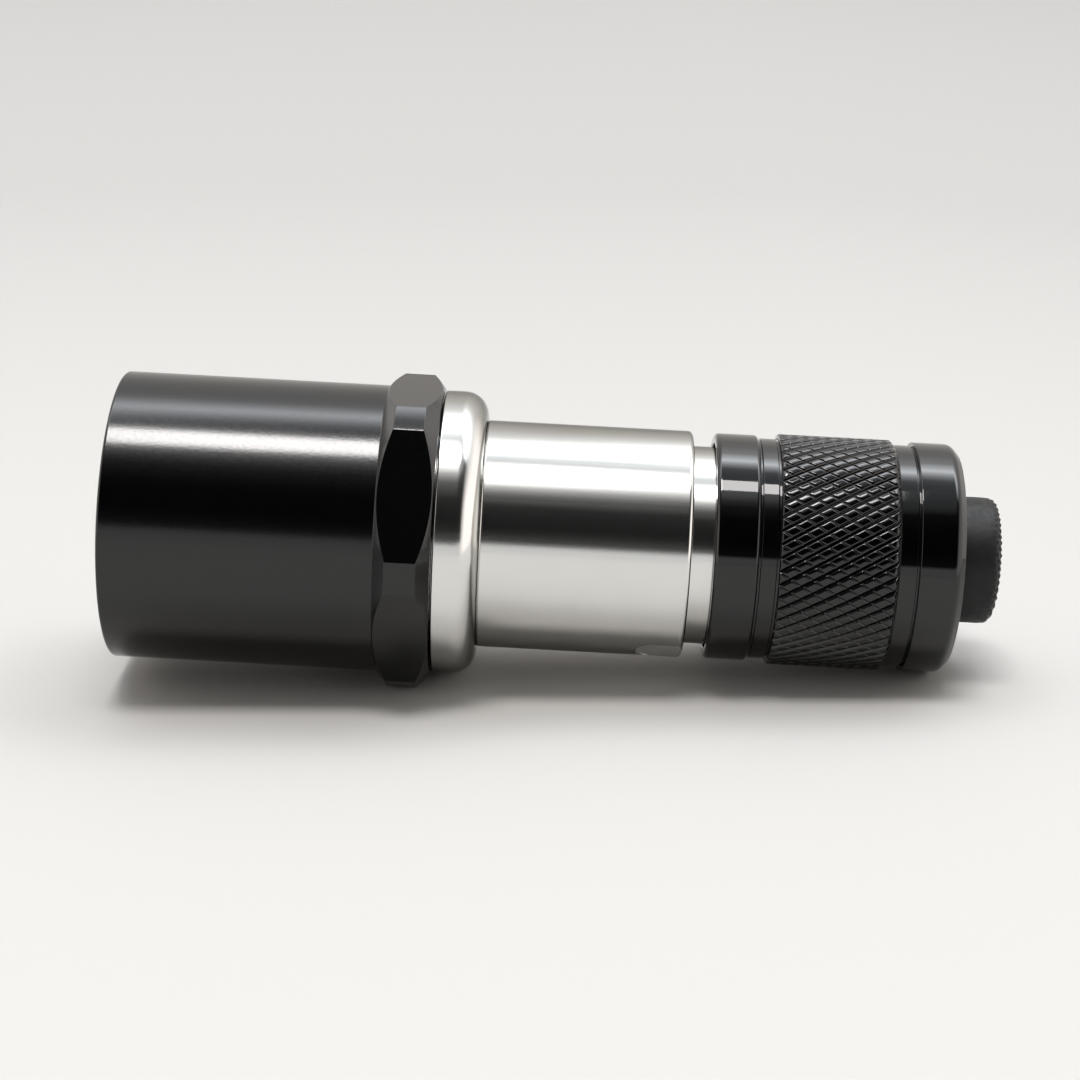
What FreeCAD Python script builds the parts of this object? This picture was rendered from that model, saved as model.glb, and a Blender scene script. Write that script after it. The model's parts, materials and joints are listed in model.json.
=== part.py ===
"""Compact hand torch: black head and tail cap on a bright aluminium tube.

Millimetres. The beam axis is X and points out of the head along +X. Stations
are measured backwards from the head's front rim, so a feature at station S
stands at x = HALF_LENGTH - S. Z is up, and the head's hexagonal ring rests a
facet on z = 0, AXIS_HEIGHT below the beam axis.
"""
import FreeCAD, Part
import math
import os

# Overall
OVERALL_LENGTH = 97.9
HALF_LENGTH = OVERALL_LENGTH / 2
HEX_APOTHEM = 16.15
AXIS_HEIGHT = HEX_APOTHEM

# Head shell
HEAD_R = 16.0
RIM_EDGE = 0.3
HEX_FRONT = 29.4
HEAD_REAR = 35.5
HEX_CORNER_R = 17.7
HEX_LAND_INSET = 1.4
HEX_SIDES = 6
RING_BORE_R = 14.7
RING_SEAT = 2.0
LENS_BORE_R = 14.4
LENS_SHOULDER = 5.1
SHOULDER_R = 12.6
MODULE_SEAT = 6.1
MODULE_BORE_R = 13.4
HEAD_THREAD_START = 28.4
HEAD_THREAD_R = 14.6
MOUTH_EDGE = 0.25

# Window
RETAINER_FRONT = 0.6
RETAINER_R = 14.62
RETAINER_OPEN_R = 13.0
NOTCH_WIDTH = 2.2
NOTCH_DEPTH = 0.9
LENS_CORD_R = 0.45
LENS_CORD_CENTRE_R = 13.9
LENS_FRONT = RING_SEAT + 2 * LENS_CORD_R
LENS_R = 14.3
LENS_EDGE = 0.25

# Lamp module
FOCAL_LENGTH = 1.9
REFLECTOR_MOUTH_R = 12.4
REFLECTOR_HOLE_R = 4.2
VERTEX = MODULE_SEAT + REFLECTOR_MOUTH_R ** 2 / (4 * FOCAL_LENGTH)
REFLECTOR_STEPS = 24
FLANGE_R = 13.3
FLANGE_REAR = 12.0
REFLECTOR_BODY_R = 12.0
BODY_FRONT = 16.0
REFLECTOR_REAR = 23.4
STUB_R = 8.4
LED_BOARD_FRONT = 24.9
LED_BOARD_REAR = 25.9
LED_BOARD_R = 8.2
LED_SIDE = 5.0
LED_BASE = 0.7
LED_DOME_R = 2.2
CENTERING_IN_R = 3.65
CENTERING_OUT_R = 4.15
CENTERING_THICK = 0.8
PILL_R = 9.8
PILL_MOUTH_R = 8.45
PILL_DECK_REAR = 27.4
PILL_CAVITY_R = 8.7
PILL_REAR = 34.4
WIRE_R = 0.45
WIRE_HOLE_R = 0.9
WIRE_OFFSET = 6.2
DRIVER_FRONT = 33.0
DRIVER_REAR = 34.2
DRIVER_R = 8.6
INDUCTOR_R = 2.4
INDUCTOR_TALL = 2.6
INDUCTOR_Z = 3.2
CHIP_BLOCKS = ((3.0, 4.0, 1.2, -3.5, 1.5), (2.0, 2.0, 1.0, 3.4, -3.0), (1.6, 2.6, 0.8, 0.2, -3.6))
CONTACT_WIRE_R = 0.3
CONTACT_TURNS = 5
CONTACT_BASE_R = 3.0
CONTACT_TIP_R = 2.0
GROUND_WIRE_R = 0.45
GROUND_TURNS = 5
GROUND_COIL_R = 10.9

# Collar between head and tube
COLLAR_FRONT = 29.0
COLLAR_STEP = 35.7
COLLAR_R = 15.78
COLLAR_REAR = 40.45
COLLAR_ROUND = 2.65
COLLAR_FRONT_EDGE = 0.2
COLLAR_BORE_R = 12.4
HEAD_MALE_R = 14.5
HEAD_ROOT_R = 14.0
HEAD_THREAD_TURNS = 5
THREAD_PITCH = 1.0
RIDGE_FOOT = 0.10
RIDGE_TOP = 0.40
HEAD_CORD_R = 0.55
HEAD_CORD_FRONT = 34.3
HEAD_CORD_REAR = 35.6
HEAD_GROOVE_R = 13.4

# Battery tube
TUBE_FRONT = 36.4
TUBE_R = 12.7
TUBE_REAR = 63.35
TUBE_FRONT_EDGE = 0.3
TUBE_REAR_EDGE = 0.55
TUBE_BORE_R = 8.9
TUBE_JOINT_R = 11.8
COLLAR_JOINT_R = 11.85
NECK_R = 11.05
TUBE_END = 76.0
TUBE_END_EDGE = 0.4
TAIL_MALE_R = 11.42
TAIL_ROOT_R = 11.0
TAIL_THREAD_START = 69.2
TAIL_THREAD_TURNS = 6
TAIL_CORD_R = 0.6
TAIL_CORD_FRONT = 66.9
TAIL_CORD_REAR = 68.2
TAIL_GROOVE_R = 10.2
FLAT_DEPTH = 0.12
FLAT_LENGTH = 5.3
FLAT_ANGLE = -54.0

# Battery
CELL_R = 8.3
CELL_FRONT = 40.3
CELL_REAR = 74.0
WRAP_R = 8.5
WRAP_FRONT = 40.0
WRAP_REAR = 73.8
NUB_FRONT = 39.5
NUB_R = 3.3
CELL_EDGE = 0.4

# Tail cap
CAP_FRONT = 65.8
RING_ONE_R = 12.65
RING_ONE_REAR = 70.58
RING_ONE_EDGE = 0.45
GROOVE_R = 12.1
RING_TWO_FRONT = 70.83
RING_TWO_R = 12.33
RING_TWO_REAR = 72.56
KNURL_FRONT = 72.86
KNURL_REAR = 85.74
KNURL_R = 12.9
KNURL_ROOT_R = 12.45
KNURL_EDGE = 0.5
RING_THREE_R = 12.4
RING_THREE_REAR = 87.59
RING_FOUR_FRONT = 87.84
RING_FOUR_R = 12.8
CAP_REAR = 92.74
CAP_CHAMFER = 0.85
CAP_BORE_R = 11.5
CAP_LEDGE = 79.6
CAP_CAVITY_R = 9.6
CAP_FLOOR = 89.4
CAP_HOLE_R = 7.35
CAP_HOLE_EDGE = 0.3

# Switch
SWITCH_RING_FRONT = 77.8
SWITCH_RING_R = 11.45
SWITCH_RING_OPEN_R = 7.5
SWITCH_RING_NOTCH = 2.0
SWITCH_PART_R = 9.5
SWITCH_BOARD_REAR = 80.8
CARRIER_REAR = 87.0
CARRIER_OPEN_R = 6.2
HOUSING_R = 6.1
HOUSING_REAR = 87.6
HOUSING_FLOOR = 81.6
HOUSING_BORE_R = 2.75
PLUNGER_R = 2.65
PLUNGER_FRONT = 85.1
PLUNGER_REAR = 90.3
RETURN_WIRE_R = 0.15
RETURN_TURNS = 4
RETURN_COIL_R = 1.9
TAIL_WIRE_R = 0.35
TAIL_TURNS = 5
TAIL_COIL_FRONT_R = 3.6
TAIL_COIL_REAR_R = 5.4
WASHER_OPEN_R = 6.3
WASHER_REAR = 88.2

# Rubber boot
BOOT_R = 7.05
BOOT_FLANGE_R = 9.4
BOOT_WALL_R = 5.7
BOOT_CORNER = 1.1
BOOT_DOME = 0.5
BOOT_DOME_RADII = (4.8, 3.2, 1.6, 0.0)
BOOT_CEILING = 95.6
BOOT_POST_R = 2.4

# Springs
END_PITCH = 1.1
COIL_STEPS = 12

# Curve steps, degrees
ARC_STEP = 15

AXIS = FreeCAD.Vector(1, 0, 0)


def at(station, y=0.0, z=0.0):
    """Point at a station, offset from the beam axis."""
    return FreeCAD.Vector(HALF_LENGTH - station, y, AXIS_HEIGHT + z)


def turned(profile):
    """Solid of revolution about the beam axis from (station, radius) corners."""
    corners = [at(station, 0.0, radius) for station, radius in profile]
    face = Part.Face(Part.makePolygon(corners + corners[:1]))
    return face.revolve(at(0.0), AXIS, 360.0)


def disc(front, rear, radius):
    """Plain cylinder on the beam axis."""
    return Part.makeCylinder(radius, rear - front, at(rear), AXIS)


def washer(front, rear, outer, inner):
    """Plain ring on the beam axis."""
    return disc(front, rear, outer).cut(disc(front - 1.0, rear + 1.0, inner))


def cord(station, centre_radius, cord_radius):
    """O-ring on the beam axis."""
    return Part.makeTorus(centre_radius, cord_radius, at(station), AXIS)


def block(front, rear, width, height, y=0.0, z=0.0):
    """Box between two stations, centred on (y, z) from the axis."""
    corner = at(rear, y - width / 2, z - height / 2)
    return Part.makeBox(rear - front, width, height, corner)


def coil(front, rear, front_radius, rear_radius, wire_radius, turns):
    """Round-wire spring with a close-wound turn at each end, touching the two stations."""
    height = rear - front - 2 * wire_radius
    end_pitch = END_PITCH * 2 * wire_radius
    mid_pitch = (height - 2 * end_pitch) / (turns - 2)
    path = []
    for step in range(turns * COIL_STEPS + 1):
        turn = step / COIL_STEPS
        climb = end_pitch * (min(turn, 1.0) + max(turn - turns + 1, 0.0))
        climb += mid_pitch * min(max(turn - 1, 0.0), turns - 2)
        radius = front_radius + (rear_radius - front_radius) * turn / turns
        angle = math.radians(360.0 * turn)
        path.append(at(front + wire_radius + climb, radius * math.cos(angle), radius * math.sin(angle)))
    curve = Part.BSplineCurve()
    curve.interpolate(path)
    section = Part.Wire(Part.makeCircle(wire_radius, path[0], curve.tangent(curve.FirstParameter)[0]))
    return Part.Wire(curve.toShape()).makePipeShell([section], True, True)


def rounded_corner(rear, radius, round_radius, last_angle):
    """Profile corners of a rounded rear edge, from the side towards the end face."""
    corners = []
    for angle in range(0, last_angle + 1, ARC_STEP):
        along = round_radius * math.sin(math.radians(angle))
        outwards = round_radius * math.cos(math.radians(angle))
        corners.append((rear - round_radius + along, radius - round_radius + outwards))
    return corners


def thread(start, turns, crest, root):
    """Profile corners of a row of thread ridges, front to rear."""
    corners = []
    for turn in range(turns):
        front = start + turn * THREAD_PITCH
        rear = front + THREAD_PITCH
        corners += [(front + RIDGE_FOOT * THREAD_PITCH, root), (front + RIDGE_TOP * THREAD_PITCH, crest)]
        corners += [(rear - RIDGE_TOP * THREAD_PITCH, crest), (rear - RIDGE_FOOT * THREAD_PITCH, root)]
    return corners


def hex_ring():
    """Six-sided anti-roll ring: a hexagonal bar turned with two cone faces."""
    corners = []
    for side in range(HEX_SIDES):
        angle = math.radians(60.0 * side)
        reach = HEX_APOTHEM / math.cos(math.pi / HEX_SIDES)
        corners.append(at(HEAD_REAR, reach * math.cos(angle), reach * math.sin(angle)))
    bar = Part.Face(Part.makePolygon(corners + corners[:1])).extrude(AXIS * (HEAD_REAR - HEX_FRONT))
    blank = turned([
        (HEX_FRONT, 0.0), (HEX_FRONT, HEAD_R), (HEX_FRONT + HEX_LAND_INSET, HEX_CORNER_R),
        (HEAD_REAR - HEX_LAND_INSET, HEX_CORNER_R), (HEAD_REAR, HEAD_R), (HEAD_REAR, 0.0)])
    return bar.common(blank)


def head_shell():
    barrel = turned([
        (0.0, 0.0), (0.0, HEAD_R - RIM_EDGE), (RIM_EDGE, HEAD_R),
        (HEX_FRONT + 1.0, HEAD_R), (HEX_FRONT + 1.0, 0.0)])
    bore = turned([
        (-1.0, 0.0), (-1.0, RING_BORE_R + 1.0 + MOUTH_EDGE), (MOUTH_EDGE, RING_BORE_R),
        (RING_SEAT, RING_BORE_R), (RING_SEAT, LENS_BORE_R), (LENS_SHOULDER, LENS_BORE_R),
        (LENS_SHOULDER, SHOULDER_R), (MODULE_SEAT, SHOULDER_R), (MODULE_SEAT, MODULE_BORE_R),
        (HEAD_THREAD_START, MODULE_BORE_R), (HEAD_THREAD_START, HEAD_THREAD_R),
        (HEAD_REAR + 1.0, HEAD_THREAD_R), (HEAD_REAR + 1.0, 0.0)])
    return barrel.fuse(hex_ring()).cut(bore).removeSplitter()


def lens_retaining_ring():
    ring = washer(RETAINER_FRONT, RING_SEAT, RETAINER_R, RETAINER_OPEN_R)
    slot = block(RETAINER_FRONT - 1.0, RETAINER_FRONT + NOTCH_DEPTH, 4 * HEAD_R, NOTCH_WIDTH)
    return ring.cut(slot)


def lens():
    return turned([
        (LENS_FRONT, 0.0), (LENS_FRONT, LENS_R - LENS_EDGE), (LENS_FRONT + LENS_EDGE, LENS_R),
        (LENS_SHOULDER - LENS_EDGE, LENS_R), (LENS_SHOULDER, LENS_R - LENS_EDGE),
        (LENS_SHOULDER, 0.0)])


def parabola(station):
    """Radius of the reflecting surface at a station."""
    return math.sqrt(4 * FOCAL_LENGTH * (VERTEX - station))


def reflector():
    last = VERTEX - REFLECTOR_HOLE_R ** 2 / (4 * FOCAL_LENGTH)
    stations = [MODULE_SEAT + (last - MODULE_SEAT) * step / REFLECTOR_STEPS
                for step in range(REFLECTOR_STEPS + 1)]
    curve = Part.BSplineCurve()
    curve.interpolate([at(station, 0.0, parabola(station)) for station in stations])
    corners = [
        (last, REFLECTOR_HOLE_R), (LED_BOARD_FRONT, REFLECTOR_HOLE_R), (LED_BOARD_FRONT, STUB_R),
        (REFLECTOR_REAR, STUB_R), (REFLECTOR_REAR, REFLECTOR_BODY_R),
        (BODY_FRONT, REFLECTOR_BODY_R), (FLANGE_REAR, FLANGE_R), (MODULE_SEAT, FLANGE_R),
        (MODULE_SEAT, REFLECTOR_MOUTH_R)]
    back = Part.makePolygon([at(station, 0.0, radius) for station, radius in corners])
    outline = Part.Wire([curve.toShape()] + back.Edges)
    return Part.Face(outline).revolve(at(0.0), AXIS, 360.0)


def led_emitter():
    base_front = LED_BOARD_FRONT - LED_BASE
    base = block(base_front, LED_BOARD_FRONT, LED_SIDE, LED_SIDE)
    dome = Part.makeSphere(LED_DOME_R, at(base_front)).common(
        block(base_front - LED_SIDE, base_front + LED_BASE / 2, LED_SIDE, LED_SIDE))
    return base.fuse(dome).removeSplitter()


def led_centering_ring():
    front = LED_BOARD_FRONT - CENTERING_THICK
    return washer(front, LED_BOARD_FRONT, CENTERING_OUT_R, CENTERING_IN_R)


def pill():
    cup = turned([
        (REFLECTOR_REAR, PILL_MOUTH_R), (REFLECTOR_REAR, PILL_R), (PILL_REAR, PILL_R),
        (PILL_REAR, PILL_CAVITY_R), (PILL_DECK_REAR, PILL_CAVITY_R), (PILL_DECK_REAR, 0.0),
        (LED_BOARD_REAR, 0.0), (LED_BOARD_REAR, PILL_MOUTH_R)])
    for side in (-1, 1):
        hole = Part.makeCylinder(WIRE_HOLE_R, PILL_DECK_REAR - LED_BOARD_REAR + 2.0,
                                 at(PILL_DECK_REAR + 1.0, side * WIRE_OFFSET), AXIS)
        cup = cup.cut(hole)
    return cup


def led_wires():
    length = DRIVER_FRONT - LED_BOARD_REAR
    return Part.makeCompound([
        Part.makeCylinder(WIRE_R, length, at(DRIVER_FRONT, side * WIRE_OFFSET), AXIS)
        for side in (-1, 1)])


def driver_components():
    front = DRIVER_FRONT - INDUCTOR_TALL
    inductor = Part.makeCylinder(INDUCTOR_R, INDUCTOR_TALL, at(DRIVER_FRONT, 0.0, INDUCTOR_Z), AXIS)
    bore = Part.makeCylinder(INDUCTOR_R / 2, INDUCTOR_TALL / 2,
                             at(front + INDUCTOR_TALL / 2, 0.0, INDUCTOR_Z), AXIS)
    chips = [block(DRIVER_FRONT - tall, DRIVER_FRONT, width, height, y, z)
             for width, height, tall, y, z in CHIP_BLOCKS]
    return Part.makeCompound([inductor.cut(bore)] + chips)


def collar():
    profile = [(COLLAR_FRONT, COLLAR_BORE_R), (COLLAR_FRONT, HEAD_ROOT_R)]
    profile += thread(COLLAR_FRONT, HEAD_THREAD_TURNS, HEAD_MALE_R, HEAD_ROOT_R)
    profile += [
        (HEAD_CORD_FRONT, HEAD_ROOT_R), (HEAD_CORD_FRONT, HEAD_GROOVE_R),
        (HEAD_CORD_REAR, HEAD_GROOVE_R), (COLLAR_STEP, HEAD_GROOVE_R),
        (COLLAR_STEP, COLLAR_R - COLLAR_FRONT_EDGE),
        (COLLAR_STEP + COLLAR_FRONT_EDGE, COLLAR_R)]
    profile += rounded_corner(COLLAR_REAR, COLLAR_R, COLLAR_ROUND, 90)
    profile += [(COLLAR_REAR, COLLAR_JOINT_R), (TUBE_FRONT, COLLAR_JOINT_R),
                (TUBE_FRONT, COLLAR_BORE_R)]
    return turned(profile)


def head_o_ring():
    station = (HEAD_CORD_FRONT + HEAD_CORD_REAR) / 2
    return cord(station, HEAD_GROOVE_R + HEAD_CORD_R, HEAD_CORD_R)


def tube_flat():
    """Cutter for the shallow milled flat at the tube's rear edge."""
    half_width = math.sqrt(TUBE_R ** 2 - (TUBE_R - FLAT_DEPTH) ** 2)
    floor = TUBE_R - FLAT_DEPTH
    depth = 2 * FLAT_DEPTH
    round_end = Part.makeCylinder(half_width, depth, at(TUBE_REAR - FLAT_LENGTH + half_width, 0.0, floor),
                                  FreeCAD.Vector(0, 0, 1))
    slot = Part.makeBox(FLAT_LENGTH - half_width + 1.0, 2 * half_width, depth,
                        at(TUBE_REAR + 1.0, -half_width, floor))
    cutter = round_end.fuse(slot)
    cutter.rotate(at(0.0), AXIS, FLAT_ANGLE - 90.0)
    return cutter


def battery_tube():
    profile = [(TUBE_FRONT, TUBE_BORE_R), (TUBE_FRONT, TUBE_JOINT_R)]
    profile += [(COLLAR_REAR, TUBE_JOINT_R), (COLLAR_REAR, TUBE_R - TUBE_FRONT_EDGE)]
    profile += [(COLLAR_REAR + TUBE_FRONT_EDGE, TUBE_R), (TUBE_REAR - TUBE_REAR_EDGE, TUBE_R)]
    profile += [(TUBE_REAR, TUBE_R - TUBE_REAR_EDGE), (TUBE_REAR, NECK_R)]
    profile += [(TAIL_CORD_FRONT, NECK_R), (TAIL_CORD_FRONT, TAIL_GROOVE_R)]
    profile += [(TAIL_CORD_REAR, TAIL_GROOVE_R), (TAIL_CORD_REAR, TAIL_ROOT_R)]
    profile += thread(TAIL_THREAD_START, TAIL_THREAD_TURNS, TAIL_MALE_R, TAIL_ROOT_R)
    profile += [(TUBE_END - TUBE_END_EDGE, TAIL_ROOT_R), (TUBE_END, TAIL_ROOT_R - TUBE_END_EDGE)]
    profile += [(TUBE_END, TUBE_BORE_R)]
    return turned(profile).cut(tube_flat())


def tail_o_ring():
    station = (TAIL_CORD_FRONT + TAIL_CORD_REAR) / 2
    return cord(station, TAIL_GROOVE_R + TAIL_CORD_R, TAIL_CORD_R)


def battery_can():
    return turned([
        (CELL_FRONT, 0.0), (CELL_FRONT, CELL_R - CELL_EDGE), (CELL_FRONT + CELL_EDGE, CELL_R),
        (CELL_REAR - CELL_EDGE, CELL_R), (CELL_REAR, CELL_R - CELL_EDGE), (CELL_REAR, 0.0)])


def battery_wrap():
    tube = washer(CELL_FRONT + CELL_EDGE, CELL_REAR - CELL_EDGE, WRAP_R, CELL_R)
    lip = washer(WRAP_FRONT, CELL_FRONT, WRAP_R, CELL_R - 2 * CELL_EDGE)
    joint = washer(CELL_FRONT, CELL_FRONT + CELL_EDGE, WRAP_R, CELL_R)
    return tube.fuse([lip, joint]).removeSplitter()


def tail_cap():
    shift = KNURL_R - KNURL_ROOT_R
    return turned([
        (CAP_FRONT, CAP_BORE_R), (CAP_FRONT, RING_ONE_R - RING_ONE_EDGE),
        (CAP_FRONT + RING_ONE_EDGE, RING_ONE_R), (RING_ONE_REAR - RING_ONE_EDGE, RING_ONE_R),
        (RING_ONE_REAR, RING_ONE_R - RING_ONE_EDGE), (RING_ONE_REAR, GROOVE_R),
        (RING_TWO_FRONT, GROOVE_R), (RING_TWO_FRONT, RING_TWO_R), (RING_TWO_REAR, RING_TWO_R),
        (RING_TWO_REAR, GROOVE_R), (KNURL_FRONT, GROOVE_R), (KNURL_FRONT, KNURL_R - shift),
        (KNURL_FRONT + shift, KNURL_R), (KNURL_REAR - shift, KNURL_R),
        (KNURL_REAR, KNURL_R - shift), (KNURL_REAR, RING_THREE_R), (RING_THREE_REAR, RING_THREE_R),
        (RING_THREE_REAR, GROOVE_R), (RING_FOUR_FRONT, GROOVE_R), (RING_FOUR_FRONT, RING_FOUR_R),
        (CAP_REAR - CAP_CHAMFER, RING_FOUR_R), (CAP_REAR, RING_FOUR_R - CAP_CHAMFER),
        (CAP_REAR, CAP_HOLE_R + CAP_HOLE_EDGE), (CAP_REAR - CAP_HOLE_EDGE, CAP_HOLE_R),
        (CAP_FLOOR, CAP_HOLE_R), (CAP_FLOOR, CAP_CAVITY_R), (CAP_LEDGE, CAP_CAVITY_R),
        (CAP_LEDGE, CAP_BORE_R)])


def switch_retaining_ring():
    ring = washer(SWITCH_RING_FRONT, CAP_LEDGE, SWITCH_RING_R, SWITCH_RING_OPEN_R)
    slot = block(SWITCH_RING_FRONT - 1.0, SWITCH_RING_FRONT + NOTCH_DEPTH, 4 * HEAD_R,
                 SWITCH_RING_NOTCH)
    return ring.cut(slot)


def switch_housing():
    body = disc(SWITCH_BOARD_REAR, HOUSING_REAR, HOUSING_R)
    return body.cut(disc(HOUSING_FLOOR, HOUSING_REAR + 1.0, HOUSING_BORE_R))


def switch_boot():
    dome = [(OVERALL_LENGTH - BOOT_DOME * (radius / BOOT_R) ** 2, radius) for radius in BOOT_DOME_RADII]
    profile = [(WASHER_REAR, BOOT_WALL_R), (WASHER_REAR, BOOT_FLANGE_R),
               (CAP_FLOOR, BOOT_FLANGE_R), (CAP_FLOOR, BOOT_R)]
    profile += rounded_corner(OVERALL_LENGTH - BOOT_DOME, BOOT_R, BOOT_CORNER, 75) + dome
    profile += [(PLUNGER_REAR, 0.0), (PLUNGER_REAR, BOOT_POST_R), (BOOT_CEILING, BOOT_POST_R),
                (BOOT_CEILING, BOOT_WALL_R)]
    return turned(profile)


def build():
    """Every piece of the torch, by node name."""
    return {
        "head_shell": head_shell(),
        "lens_retaining_ring": lens_retaining_ring(),
        "lens_o_ring": cord(RING_SEAT + LENS_CORD_R, LENS_CORD_CENTRE_R, LENS_CORD_R),
        "lens": lens(),
        "reflector": reflector(),
        "led_emitter": led_emitter(),
        "led_centering_ring": led_centering_ring(),
        "led_board": disc(LED_BOARD_FRONT, LED_BOARD_REAR, LED_BOARD_R),
        "pill": pill(),
        "led_wires": led_wires(),
        "driver_board": disc(DRIVER_FRONT, DRIVER_REAR, DRIVER_R),
        "driver_components": driver_components(),
        "driver_contact_spring": coil(
            DRIVER_REAR, NUB_FRONT, CONTACT_BASE_R, CONTACT_TIP_R, CONTACT_WIRE_R,
            CONTACT_TURNS),
        "module_ground_spring": coil(
            REFLECTOR_REAR, TUBE_FRONT, GROUND_COIL_R, GROUND_COIL_R, GROUND_WIRE_R, GROUND_TURNS),
        "collar": collar(),
        "head_o_ring": head_o_ring(),
        "battery_tube": battery_tube(),
        "tail_o_ring": tail_o_ring(),
        "battery_can": battery_can(),
        "battery_wrap": battery_wrap(),
        "battery_positive_cap": disc(NUB_FRONT, CELL_FRONT, NUB_R),
        "tail_cap": tail_cap(),
        "switch_retaining_ring": switch_retaining_ring(),
        "tail_spring": coil(
            CELL_REAR, CAP_LEDGE, TAIL_COIL_FRONT_R, TAIL_COIL_REAR_R, TAIL_WIRE_R, TAIL_TURNS),
        "switch_board": disc(CAP_LEDGE, SWITCH_BOARD_REAR, SWITCH_PART_R),
        "switch_carrier": washer(
            SWITCH_BOARD_REAR, CARRIER_REAR, SWITCH_PART_R, CARRIER_OPEN_R),
        "switch_housing": switch_housing(),
        "switch_return_spring": coil(
            HOUSING_FLOOR, PLUNGER_FRONT, RETURN_COIL_R, RETURN_COIL_R, RETURN_WIRE_R,
            RETURN_TURNS),
        "switch_plunger": disc(PLUNGER_FRONT, PLUNGER_REAR, PLUNGER_R),
        "boot_washer": washer(CARRIER_REAR, WASHER_REAR, SWITCH_PART_R, WASHER_OPEN_R),
        "switch_boot": switch_boot(),
    }


os.makedirs("parts", exist_ok=True)
for name, shape in build().items():
    shape.exportStep("parts/" + name + ".step")
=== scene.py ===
"""Look of the compact hand torch: fine meshes, materials, studio light and camera.

Metres, in the CAD frame: the beam axis is X and points out of the head, Z is up. Lengths
in the tables below are millimetres. A station is measured back from the head's front rim.
"""
import json
import math

import bmesh
import bpy
from mathutils import Matrix, Vector


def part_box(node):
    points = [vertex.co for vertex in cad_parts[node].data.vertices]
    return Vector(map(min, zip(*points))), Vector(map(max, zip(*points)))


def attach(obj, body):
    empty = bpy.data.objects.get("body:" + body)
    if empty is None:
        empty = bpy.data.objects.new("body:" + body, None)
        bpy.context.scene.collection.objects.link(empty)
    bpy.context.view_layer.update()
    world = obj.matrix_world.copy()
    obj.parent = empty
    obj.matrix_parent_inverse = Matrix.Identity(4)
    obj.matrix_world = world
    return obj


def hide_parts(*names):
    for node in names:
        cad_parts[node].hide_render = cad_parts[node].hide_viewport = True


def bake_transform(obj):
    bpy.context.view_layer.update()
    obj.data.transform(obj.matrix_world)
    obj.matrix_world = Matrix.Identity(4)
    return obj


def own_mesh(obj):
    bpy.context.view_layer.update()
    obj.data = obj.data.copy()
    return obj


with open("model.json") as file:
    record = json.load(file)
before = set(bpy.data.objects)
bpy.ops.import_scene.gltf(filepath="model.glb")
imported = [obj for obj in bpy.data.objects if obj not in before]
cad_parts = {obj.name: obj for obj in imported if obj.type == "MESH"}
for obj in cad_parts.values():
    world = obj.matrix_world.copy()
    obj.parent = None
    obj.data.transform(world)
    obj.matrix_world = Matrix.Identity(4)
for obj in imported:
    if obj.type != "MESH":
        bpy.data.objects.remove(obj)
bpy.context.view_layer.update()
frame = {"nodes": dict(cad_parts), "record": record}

MM = 0.001
FRONT_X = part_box("head_shell")[1][0]
AXIS_Z = (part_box("head_shell")[0][2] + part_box("head_shell")[1][2]) / 2

# Sizes and stations in millimetres. The main ones repeat those of the CAD part.

# Head shell
HEAD_R = 16.0
MOUTH_R = 15.0
MOUTH_DEPTH = 0.35
HEX_APOTHEM = 16.15
HEX_FRONT = 29.4
HEX_LAND_FRONT = 30.8
HEX_LAND_REAR = 34.1
HEX_CORNER_R = 17.7
HEX_EDGE = 0.09
HEX_SHARP = 40
HEAD_REAR = 35.5
RING_BORE_R = 14.7
RING_SEAT = 2.0
LENS_BORE_R = 14.4
LENS_SHOULDER = 5.1
SHOULDER_R = 12.6
MODULE_SEAT = 6.1
MODULE_BORE_R = 13.4
HEAD_THREAD_START = 28.4
HEAD_THREAD_R = 14.6

# Collar
COLLAR_FRONT = 29.0
COLLAR_STEP = 35.7
COLLAR_R = 15.78
COLLAR_REAR = 40.45
COLLAR_ROUND = 2.62
COLLAR_BORE_R = 12.4
COLLAR_JOINT_R = 11.85
HEAD_MALE_R = 14.5
HEAD_ROOT_R = 14.0
HEAD_GROOVE_FRONT = 34.3
HEAD_GROOVE_R = 13.4
HEAD_THREAD_ENDS = (29.4, 34.0)

# Battery tube. The flat is deeper than in CAD and turned half a degree further. A face is part
# of it when it faces along FLAT_NORMAL within FLAT_FACING and is larger than FLAT_LEAST_AREA.
TUBE_FRONT = 36.4
TUBE_R = 12.7
TUBE_REAR = 63.35
TUBE_BORE_R = 8.9
TUBE_JOINT_R = 11.8
TUBE_END = 76.0
TUBE_SHARP = 25
NECK_R = 11.05
TAIL_MALE_R = 11.42
TAIL_ROOT_R = 11.0
TAIL_GROOVE_FRONT = 66.9
TAIL_GROOVE_REAR = 68.2
TAIL_GROOVE_R = 10.2
TAIL_THREAD_ENDS = (69.2, 75.2)
FLAT_DEPTH = 0.19
FLAT_LENGTH = 5.3
FLAT_ANGLE = math.radians(-54.5)
FLAT_NORMAL = Vector((0, math.cos(FLAT_ANGLE), math.sin(FLAT_ANGLE)))
FLAT_FACING = 0.9999
FLAT_LEAST_AREA = 4.0
FLAT_STEPS = 32

# Screw threads. The crest's height is FLANK less SLOPE times the distance, within 0 and 1.
THREAD_PITCH = 1.0
THREAD_STEP = 0.07
THREAD_FLANK = 1.35
THREAD_SLOPE = 3.5
THREAD_RUN_OUT = 0.4

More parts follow.
